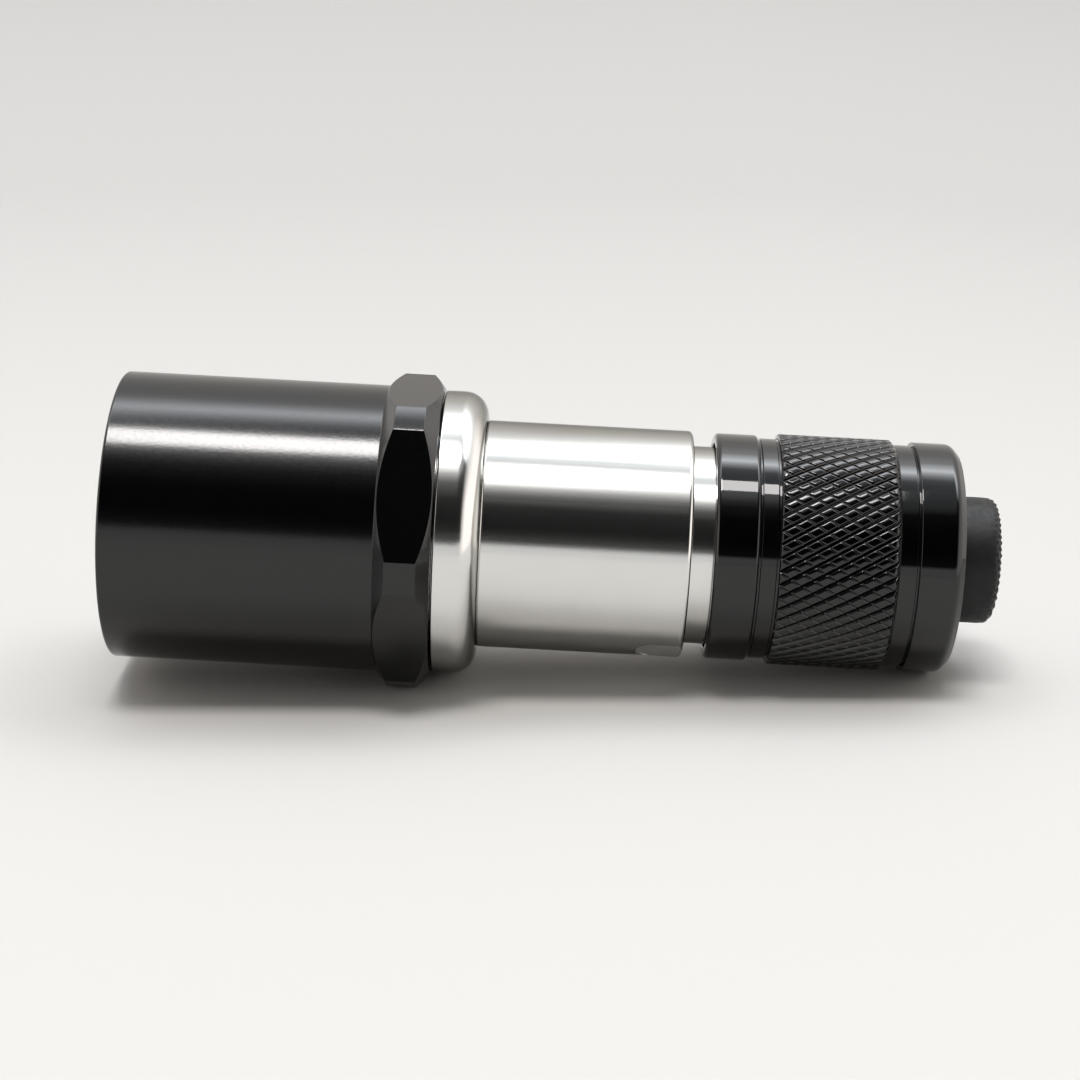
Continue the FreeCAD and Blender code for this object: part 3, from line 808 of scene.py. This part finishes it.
def bump_field(travel, angle):
    """Height of the bumps at a distance from the pole: three crossing waves, summing -1.5 to 3."""
    wave = 4 * math.pi / (math.sqrt(3) * BUMP_PITCH)
    total = 0.0
    for direction in (0, 60, 120):
        total += math.cos(wave * travel * math.cos(angle - math.radians(direction)))
    fade = min(max((BUMP_EDGE - travel) / BUMP_FADE, 0.0), 1.0)
    return BUMP_HEIGHT * fade * max((total + 1.5) / 4.5, 0.0) ** BUMP_SHARPNESS


def boot_skin():
    """Outer wall of the boot: {(station, radius): (distance from the pole, normal)}."""
    flat = BOOT_R - BOOT_CORNER
    end = BOOT_END - BUMP_HEIGHT
    bend = flat + BOOT_CORNER * math.pi / 2
    skin = {}
    for k in range(1, int(BUMP_EDGE / BUMP_STEP) + 1):
        travel = k * BUMP_STEP
        if travel < flat:
            station, radius, turn = end - BOOT_DOME * (travel / flat) ** 2, travel, 0.0
        elif travel < bend:
            turn = (travel - flat) / BOOT_CORNER
            station = end - BOOT_DOME - BOOT_CORNER * (1 - math.cos(turn))
            radius = flat + BOOT_CORNER * math.sin(turn)
        else:
            station, radius = end - BOOT_DOME - BOOT_CORNER - travel + bend, BOOT_R
            turn = math.pi / 2
        skin[(station, radius)] = (travel, (math.cos(turn), math.sin(turn)))
    return skin


def switch_boot():
    skin = boot_skin()
    last = min(s for s, r in skin)
    wall = [(last - (last - CAP_FLOOR) * k / BOOT_WALL_STEPS, BOOT_R)
            for k in range(1, BOOT_WALL_STEPS + 1)]
    inside = [(CAP_FLOOR, BOOT_FLANGE_R), (BOOT_FLANGE_FRONT, BOOT_FLANGE_R),
              (BOOT_FLANGE_FRONT, BOOT_WALL_R), (BOOT_WALL_TAPER, BOOT_WALL_R),
              (BOOT_CEILING, BOOT_WALL_TIP_R), (BOOT_CEILING, BOOT_POST_R),
              (BOOT_POST_FRONT, BOOT_POST_R), (BOOT_POST_FRONT, 0.0)]
    outline = [(BOOT_END - BUMP_HEIGHT, 0.0)] + list(skin) + wall + inside

    def shift(s, r, angle):
        if (s, r) not in skin:
            return s, r
        travel, normal = skin[(s, r)]
        height = bump_field(travel, angle)
        return s + normal[0] * height, r + normal[1] * height

    obj = lathe("switch_boot_fine", outline, BOOT_SEGMENTS, shift)
    place(obj, "boot_rubber", None, "switch_boot")
    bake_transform(obj)


# Window and lamp

def lens_retaining_ring():
    outline = soften([
        (RETAINER_FRONT, RETAINER_OPEN_R, 0.12), (RETAINER_FRONT, RETAINER_R, 0.1),
        (RING_SEAT, RETAINER_R, 0.1), (RING_SEAT, RETAINER_OPEN_R, 0.1)])
    ring = lathe("lens_retaining_ring_fine", outline, RING_SEGMENTS)
    cut(ring, block("notch_cutter", RETAINER_FRONT - 1.0, NOTCH_REAR, NOTCH_REACH, NOTCH_WIDTH))
    ring.data.set_sharp_from_angle(angle=math.radians(RETAINER_SHARP))
    place(weigh(ring), "ring_black", "head", "lens_retaining_ring")


def reflector():
    vertex = MIRROR_MOUTH + MIRROR_MOUTH_R ** 2 / (4 * MIRROR_FOCUS)
    outline = []
    for k in range(MIRROR_STEPS + 1):
        radius = MIRROR_MOUTH_R + (MIRROR_HOLE_R - MIRROR_MOUTH_R) * k / MIRROR_STEPS
        outline.append((vertex - radius ** 2 / (4 * MIRROR_FOCUS), radius))
    outline += [(24.85, MIRROR_HOLE_R), (24.9, MIRROR_HOLE_R + 0.05), (24.9, 8.35), (24.85, 8.4),
                (23.45, 8.4), (23.4, 8.45), (23.4, 11.9), (23.3, 12.0), (16.0, 12.0),
                (12.0, 13.3), (6.3, 13.3), (6.15, 13.2), (6.1, 13.0), (6.1, 12.5)]
    obj = lathe("reflector_fine", outline, CAP_SEGMENTS)
    obj.data.set_sharp_from_angle(angle=math.radians(MIRROR_SHARP))
    place(obj, "reflector_mirror", "lamp_module", "reflector")


def led_emitter():
    base = block("led_base", LED_FRONT, LED_REAR, LED_SIDE, LED_SIDE)
    place(weigh(bevel(base, LED_EDGE)), "white_plastic", "lamp_module", "led_emitter")
    die = block("led_die", DIE_FRONT, LED_FRONT + DIE_SUNK, DIE_SIDE, DIE_SIDE)
    place(weigh(bevel(die, DIE_EDGE)), "led_phosphor", "lamp_module", "led_emitter")
    turns = [math.pi / 2 * k / LED_DOME_STEPS for k in range(LED_DOME_STEPS + 1)]
    outline = [(LED_FRONT - LED_DOME_R * math.cos(t), LED_DOME_R * math.sin(t)) for t in turns]
    outline += [(LED_FRONT + LED_DOME_FOOT, LED_DOME_R), (LED_FRONT + LED_DOME_FOOT, 0.0)]
    dome = lathe("led_dome", outline, DOME_SEGMENTS)
    place(dome, "window_glass", "lamp_module", "led_emitter")


# Node, material, body and (station, radius, fillet) outline
TURNED = (
    ("lens", "window_glass", "head", (
        (2.9, 0.0, 0), (2.9, 14.3, 0.2), (LENS_SHOULDER, 14.3, 0.2), (LENS_SHOULDER, 0.0, 0))),
    ("led_centering_ring", "white_plastic", "lamp_module", (
        (24.1, 3.65, 0.1), (24.1, 4.15, 0.1), (LED_REAR, 4.15, 0.1), (LED_REAR, 3.65, 0.1))),
    ("battery_can", "cell_steel", "cell", (
        (CELL_FRONT, 0.0, 0), (CELL_FRONT, CELL_R, 0.4), (CELL_REAR, CELL_R, 0.4),
        (CELL_REAR, 0.0, 0))),
    ("battery_wrap", "cell_wrap", "cell", (
        (40.0, WRAP_OPEN_R, 0.1), (40.0, WRAP_R, 0.45), (42.4, WRAP_R, 0.3),
        (42.8, WRAP_WAIST_R, 0.3), (43.4, WRAP_WAIST_R, 0.3), (43.8, WRAP_R, 0.3),
        (73.8, WRAP_R, 0.2), (73.8, CELL_R, 0.05), (CELL_FRONT, CELL_R, 0),
        (CELL_FRONT, WRAP_OPEN_R, 0))),
    ("battery_positive_cap", "cell_steel", "cell", (
        (NUB_FRONT, 0.0, 0), (NUB_FRONT, 3.3, 0.35), (CELL_FRONT, 3.3, 0), (CELL_FRONT, 0.0, 0))),
    ("switch_retaining_ring", "brass", "tail_cap", (
        (SWITCH_RING_FRONT, 7.5, 0.2), (SWITCH_RING_FRONT, 11.45, 0.2), (CAP_LEDGE, 11.45, 0.1),
        (CAP_LEDGE, 7.5, 0.1))),
    ("switch_board", "board_green", "tail_cap", (
        (CAP_LEDGE, 0.0, 0), (CAP_LEDGE, 9.5, 0.1), (BOARD_REAR, 9.5, 0.1), (BOARD_REAR, 0.0, 0))),
)
# Node, body, station, radius of the cord's centre and radius of the cord
CORDS = (
    ("lens_o_ring", "head", 2.45, 13.9, 0.45),
    ("head_o_ring", "tube", 34.95, 13.95, 0.55),
    ("tail_o_ring", "tube", 67.55, 10.8, 0.6),
)
# Node, material, body, stations of the two ends, radii there, wire radius and turns
SPRINGS = (
    ("driver_contact_spring", "spring_gold", "lamp_module", (34.2, NUB_FRONT), (3.0, 2.0), 0.3, 5),
    ("module_ground_spring", "spring_steel", None, (23.4, TUBE_FRONT), (10.9, 10.9), 0.45, 5),
    ("tail_spring", "spring_gold", "tail_contact", (CELL_REAR, CAP_LEDGE), (3.6, 5.4), 0.35, 5),
    ("switch_return_spring", "spring_steel", "tail_cap", (HOUSING_FLOOR, PLUNGER_FRONT),
     (1.9, 1.9), 0.15, 4),
)


def turned_pieces():
    for node, slot, body, outline in TURNED:
        obj = lathe(node + "_fine", soften(outline), INNER_SEGMENTS)
        place(weigh(obj), slot, body, node)
    for node, body, station, centre_radius, cord_radius in CORDS:
        outline = ring_outline(station, centre_radius, cord_radius)
        obj = lathe(node + "_fine", outline, RING_SEGMENTS)
        place(obj, "seal_rubber", body, node)


def coil(name, ends, radii, wire, turns):
    """Round-wire spring with a closed turn at each end."""
    front, rear = ends
    closed = COIL_CLOSED_PITCH * wire
    pitch = (rear - front - 2 * wire - 2 * closed) / (turns - 2)
    bm = bmesh.new()
    rings = []
    for step in range(turns * COIL_STEPS + 1):
        turn = step / COIL_STEPS
        climb = closed * (min(turn, 1.0) + max(turn - turns + 1, 0.0))
        climb += pitch * min(max(turn - 1, 0.0), turns - 2)
        radius = radii[0] + (radii[1] - radii[0]) * turn / turns
        ring = []
        for k in range(WIRE_SIDES):
            a = 2 * math.pi * k / WIRE_SIDES
            ring.append(bm.verts.new(spot(front + wire + climb + wire * math.cos(a),
                                          radius + wire * math.sin(a), 2 * math.pi * turn)))
        rings.append(ring)
    for one, two in zip(rings, rings[1:]):
        for k in range(WIRE_SIDES):
            n = (k + 1) % WIRE_SIDES
            bm.faces.new((one[k], one[n], two[n], two[k]))
    bm.faces.new(rings[0])
    bm.faces.new(rings[-1])
    return finish_mesh(name, bm, COIL_SHARP)


def springs():
    for node, slot, body, ends, radii, wire, turns in SPRINGS:
        obj = coil(node + "_fine", ends, radii, wire, turns)
        place(obj, slot, body, node)
        if node == "module_ground_spring":
            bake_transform(obj)
        if node == "switch_return_spring":
            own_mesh(obj)


# Stage, light and camera

# The torch rests on a hexagon's facet and on its last ring, so the table is tilted under it
REST_EDGE = 35.38
TAIL_CONTACT = CAP_REAR - CAP_CHAMFER
TABLE_TILT = math.atan((HEX_APOTHEM - RING_FOUR_R) / (TAIL_CONTACT - REST_EDGE))
TABLE = (Matrix.Translation(Vector((along(REST_EDGE), 0, AXIS_Z - HEX_APOTHEM * MM)))
         @ Matrix.Rotation(TABLE_TILT, 4, "Y"))


# The floor falls gently away past the tail, so that a cap drawn out along the torch's tilted
# axis stays above it
FLOOR_REACH = 5.0
FALL_START = -(TAIL_CONTACT - REST_EDGE) / math.cos(TABLE_TILT) * MM
FALL_BEND = 0.012
FALL_SLOPE = 0.105
FALL_STEPS = 12
# Painted shade: the floor's colour is darker behind the torch than on the camera's side, and
# blends from one to the other over a span across the torch given in metres.
FLOOR_FAR_SHADED = (0.42, 0.414, 0.404)
FLOOR_NEAR_LIT = (0.518, 0.51, 0.496)
FLOOR_SHADE_FADE = (-0.33, 0.0)


def stage():
    bm = bmesh.new()
    fall = [FALL_BEND * k / FALL_STEPS for k in range(FALL_STEPS + 1)]
    line = [(FLOOR_REACH, 0.0)]
    line += [(FALL_START - past, -FALL_SLOPE * past ** 2 / (2 * FALL_BEND)) for past in fall]
    line.append((-FLOOR_REACH, -FALL_SLOPE * (FLOOR_REACH + FALL_START - FALL_BEND / 2)))
    rows = [[bm.verts.new((x, y, z)) for y in (-FLOOR_REACH, FLOOR_REACH)] for x, z in line]
    for one, two in zip(rows, rows[1:]):
        bm.faces.new((one[0], one[1], two[1], two[0]))
    floor = finish_mesh("floor", bm)
    floor.matrix_world = TABLE
    # Painted shade: the floor's colour runs from a darker tone behind the torch to a lighter one
    # on the camera's side.
    m = Shader("floor_pale", FLOOR_FAR_SHADED, Roughness=0.85)
    position = m.node("ShaderNodeSeparateXYZ")
    m.link(m.coords.outputs["Object"], position.inputs["Vector"])
    m.vary_colour(position.outputs["Y"], FLOOR_NEAR_LIT, *FLOOR_SHADE_FADE)
    m.bumps(m.noise(1500, 3), 0.02, 0.15)
    floor.data.materials.append(m.material)


KEY_HEIGHT = 2.1
KEY_COLOUR = (1.0, 0.975, 0.955)
# Name, span along the torch, span across it and radiance
KEY_BOXES = (
    ("key_box", (-0.12, 0.40), (0.03, 0.54), 23.0),
    ("key_box_end", (-0.475, -0.12), (0.085, 0.525), 11.4),
)


def soft_box(name, x_span, y_span, radiance):
    """Overhead light that spans a rectangle of the plane at KEY_HEIGHT above the table."""
    data = bpy.data.lights.new(name, "AREA")
    data.shape = "RECTANGLE"
    data.size, data.size_y = x_span[1] - x_span[0], y_span[1] - y_span[0]
    data.energy = radiance * math.pi * data.size * data.size_y
    data.color = KEY_COLOUR
    obj = bpy.data.objects.new(name, data)
    bpy.context.scene.collection.objects.link(obj)
    centre = Vector((sum(x_span) / 2, sum(y_span) / 2, KEY_HEIGHT))
    obj.matrix_world = TABLE @ Matrix.Translation(centre)


# Tints of the sky
WARM = (1.05, 1.0, 0.955)
COOL = (0.96, 1.0, 1.04)
# Stops of the sky: sine of the elevation, radiance and, for some, a tint. FRONT is on the photo
# camera's side and BACK across the torch, the TAIL ones are towards its tail, and SIDE is
# beyond its two ends. SEEN_SKY is what shows past the floor.
FRONT_SKY = ((0.0, 0.8), (0.10, 0.8), (0.15, 0.05), (0.31, 0.02), (0.42, 0.01), (0.707, 0.02),
             (0.848, 0.12), (0.899, 0.4), (0.945, 1.1), (0.966, 1.2, COOL), (1.0, 0.6, COOL))
FRONT_TAIL_SKY = ((0.0, 0.8), (0.10, 0.8), (0.15, 0.05), (0.31, 0.02), (0.42, 0.01),
                  (0.707, 0.02), (0.86, 0.06), (0.90, 0.28), (0.93, 0.42, COOL),
                  (0.97, 0.48, COOL), (1.0, 0.5, COOL))
BACK_SKY = ((0.0, 0.66, WARM), (0.17, 0.66, WARM), (0.5, 0.7, WARM), (0.7, 0.9), (0.8, 1.3),
            (0.86, 3.0, COOL), (0.905, 5.8, COOL), (0.948, 2.9, COOL), (0.975, 1.0, COOL),
            (1.0, 0.6, COOL))
TAIL_SKY = ((0.0, 0.7, WARM), (0.17, 0.7, WARM), (0.5, 0.78, WARM), (0.64, 1.1), (0.72, 1.6),
            (0.8, 2.3), (0.86, 5.0, COOL), (0.903, 7.8, COOL), (0.945, 3.4, COOL),
            (0.972, 1.0, COOL), (1.0, 0.6, COOL))
SIDE_SKY = ((0.0, 1.4, WARM), (0.5, 1.4, WARM), (0.8, 0.8), (1.0, 0.6, COOL))
SEEN_SKY = (0.78, 0.77, 0.75, 1)
# Spans of the direction over which one sky passes into the next
TO_TAIL_BEHIND = (0.0, -0.06)
TO_TAIL_BEFORE = (-0.09, -0.13)
TO_BEHIND = (0.15, -0.15)
TO_SIDE = (0.5, 0.75)


def fill_ramp(ramp, stops):
    """Places first, then colours, since the elements stay in order of place."""
    while len(ramp.elements) < len(stops):
        ramp.elements.new(0.5)
    for element, stop in zip(ramp.elements, stops):
        element.position = stop[0]
    for element, stop in zip(ramp.elements, stops):
        tint = stop[2] if len(stop) > 2 else (1, 1, 1)
        element.color = (*(stop[1] * part for part in tint), 1)


def lights():
    for box in KEY_BOXES:
        soft_box(*box)
    world = bpy.data.worlds.new("studio")
    bpy.context.scene.world = world
    world.use_nodes = True
    tree = world.node_tree
    tree.nodes.clear()
    link = tree.links.new
    coords = tree.nodes.new("ShaderNodeTexCoord")
    split = tree.nodes.new("ShaderNodeSeparateXYZ")
    link(coords.outputs["Generated"], split.inputs["Vector"])

    def sky(stops):
        ramp = tree.nodes.new("ShaderNodeValToRGB")
        fill_ramp(ramp.color_ramp, stops)
        link(split.outputs["Z"], ramp.inputs["Fac"])
        return ramp.outputs["Color"]

    def mixed(factor, one, two):
        mix = tree.nodes.new("ShaderNodeMix")
        mix.data_type = "RGBA"
        link(factor, mix.inputs["Factor"])
        link(one, mix.inputs["A"])
        if isinstance(two, tuple):
            mix.inputs["B"].default_value = two
        else:
            link(two, mix.inputs["B"])
        return mix.outputs["Result"]

    def step(value, span):
        ramp = tree.nodes.new("ShaderNodeMapRange")
        ramp.inputs["From Min"].default_value = span[0]
        ramp.inputs["From Max"].default_value = span[1]
        link(value, ramp.inputs["Value"])
        return ramp.outputs["Result"]

    sideways = tree.nodes.new("ShaderNodeMath")
    sideways.operation = "ABSOLUTE"
    link(split.outputs["X"], sideways.inputs[0])
    path = tree.nodes.new("ShaderNodeLightPath")
    shader = tree.nodes.new("ShaderNodeBackground")
    output = tree.nodes.new("ShaderNodeOutputWorld")
    behind = mixed(step(split.outputs["X"], TO_TAIL_BEHIND), sky(BACK_SKY), sky(TAIL_SKY))
    before = mixed(step(split.outputs["X"], TO_TAIL_BEFORE), sky(FRONT_SKY), sky(FRONT_TAIL_SKY))
    around = mixed(step(split.outputs["Y"], TO_BEHIND), before, behind)
    around = mixed(step(sideways.outputs["Value"], TO_SIDE), around, sky(SIDE_SKY))
    link(mixed(path.outputs["Is Camera Ray"], around, SEEN_SKY), shader.inputs["Color"])
    link(shader.outputs["Background"], output.inputs["Surface"])


# Camera fitted to the photo's outline, in the CAD frame, with the lens in millimetres
CAMERA_PLACE = (0.000345, 0.25208, 0.0966)
CAMERA_TURN = ((-0.99849, 0.05456, -0.00622), (-0.02259, -0.30478, 0.95215),
               (0.05005, 0.95086, 0.30555))
CAMERA_LENS = 78.52
SENSOR_WIDTH = 36.0
CLIP = (0.01, 20.0)


def camera():
    data = bpy.data.cameras.new("camera")
    data.lens = CAMERA_LENS
    data.sensor_width = SENSOR_WIDTH
    data.clip_start, data.clip_end = CLIP
    obj = bpy.data.objects.new("camera", data)
    bpy.context.scene.collection.objects.link(obj)
    obj.matrix_world = Matrix.Translation(CAMERA_PLACE) @ Matrix(CAMERA_TURN).to_4x4()
    bpy.context.scene.camera = obj
    bpy.context.scene.view_settings.view_transform = "Standard"


def main():
    """Gives every carried-over CAD node its material, then adds the fine pieces and the studio."""
    slots = {s["node"]: s["material_slot"] for s in frame["record"]["subparts"]}
    for node, obj in frame["nodes"].items():
        obj.data.materials.clear()
        obj.data.materials.append(made[slots[node]])
    head_shell()
    collar()
    battery_tube()
    tail_cap()
    knurl()
    switch_boot()
    lens_retaining_ring()
    reflector()
    led_emitter()
    turned_pieces()
    springs()
    stage()
    lights()
    camera()


outside_materials()
lamp_materials()
inner_materials()
main()
